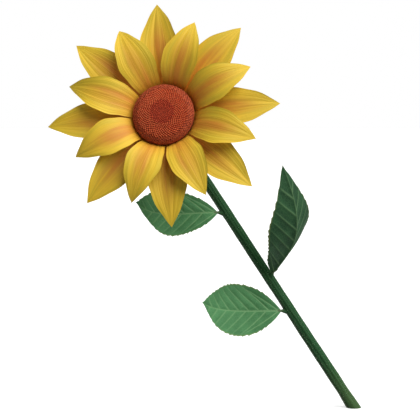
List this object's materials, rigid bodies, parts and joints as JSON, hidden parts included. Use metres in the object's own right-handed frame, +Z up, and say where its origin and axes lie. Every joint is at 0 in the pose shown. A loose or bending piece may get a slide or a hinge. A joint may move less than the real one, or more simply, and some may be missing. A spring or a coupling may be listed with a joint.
{
  "type": "sunflower plant",
  "caption": "Leaning sunflower plant in flower: one stem cut level at the ground, leaves on short stalks, and a head of broad pointed petals round a domed seed disc.",
  "frame": {"origin": "centre of the level cut at the foot of the stem, on the ground", "axes": "+Z up; the flower faces -Y, turned a little to -X; the stem leans towards -X; -Y is the side towards the camera"},
  "size_m": [0.3193, 0.1045, 0.4157],
  "materials": {
    "stem_green": "ribbed, bristly green stem",
    "leaf_green": "matt, veined leaf",
    "bract_green": "matt, hairy bract",
    "petal_yellow": "soft satin petal",
    "disc_red": "rough, packed florets"
  },
  "bodies": {
    "root": {"stem": "stem_green", "stem_neck": "stem_green", "stalk_low_left": "stem_green", "stalk_right": "stem_green", "stalk_high_left": "stem_green", "leaf_low_left": "leaf_green", "leaf_right": "leaf_green", "leaf_high_left": "leaf_green", "head_cup": "bract_green", "seed_disc": "disc_red", "back_petal_1": "petal_yellow", "back_petal_2": "petal_yellow", "back_petal_3": "petal_yellow", "back_petal_4": "petal_yellow", "back_petal_5": "petal_yellow", "back_petal_6": "petal_yellow", "back_petal_7": "petal_yellow", "back_petal_8": "petal_yellow", "front_petal_1": "petal_yellow", "front_petal_2": "petal_yellow", "front_petal_3": "petal_yellow", "front_petal_4": "petal_yellow", "front_petal_5": "petal_yellow", "front_petal_6": "petal_yellow", "front_petal_7": "petal_yellow", "front_petal_8": "petal_yellow", "back_bract_1": "bract_green", "back_bract_2": "bract_green", "back_bract_3": "bract_green", "back_bract_4": "bract_green", "back_bract_5": "bract_green", "back_bract_6": "bract_green", "back_bract_7": "bract_green", "back_bract_8": "bract_green", "back_bract_9": "bract_green", "back_bract_10": "bract_green", "back_bract_11": "bract_green", "back_bract_12": "bract_green", "back_bract_13": "bract_green", "front_bract_1": "bract_green", "front_bract_2": "bract_green", "front_bract_3": "bract_green", "front_bract_4": "bract_green", "front_bract_5": "bract_green", "front_bract_6": "bract_green", "front_bract_7": "bract_green", "front_bract_8": "bract_green", "front_bract_9": "bract_green", "front_bract_10": "bract_green", "front_bract_11": "bract_green", "front_bract_12": "bract_green", "front_bract_13": "bract_green"}
  },
  "joints": []
}
